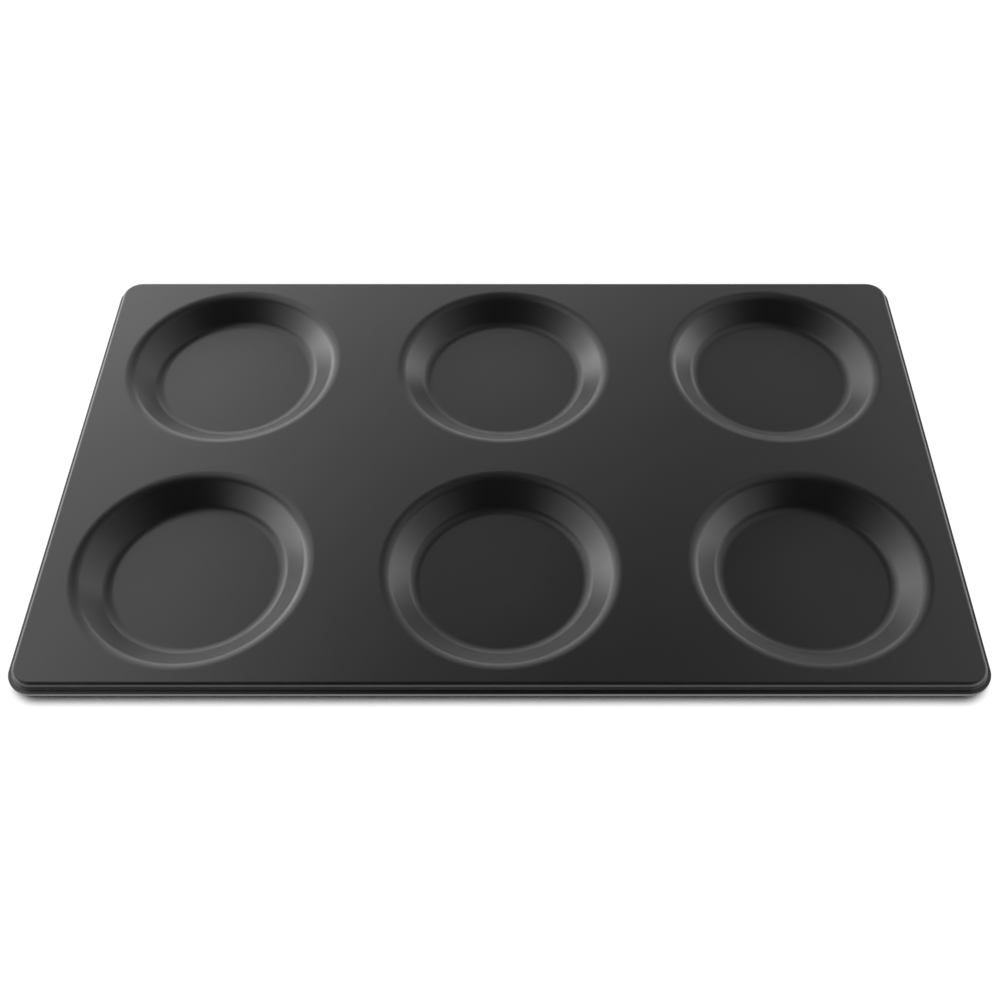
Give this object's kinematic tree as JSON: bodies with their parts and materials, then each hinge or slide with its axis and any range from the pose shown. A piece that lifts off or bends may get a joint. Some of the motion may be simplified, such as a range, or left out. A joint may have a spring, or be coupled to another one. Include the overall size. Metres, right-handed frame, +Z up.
{
  "type": "egg baking tray",
  "caption": "Flat gastronorm baking tray with round flat-bottomed wells, sloped well walls and a narrow stepped rim, black non-stick.",
  "frame": {"origin": "centre of the bounding box's bottom face, on the plane that the undersides of the wells stand on", "axes": "+X along the tray's length, +Y across its width towards the back edge of the picture, +Z up out of the wells"},
  "size_m": [0.53, 0.325, 0.0162],
  "materials": {
    "anodised_aluminium": "dark hard-anodised, satin",
    "black_nonstick": "black satin with a fine grain"
  },
  "bodies": {
    "root": {"pressed_sheet": "anodised_aluminium", "nonstick_coating": "black_nonstick"}
  },
  "joints": []
}
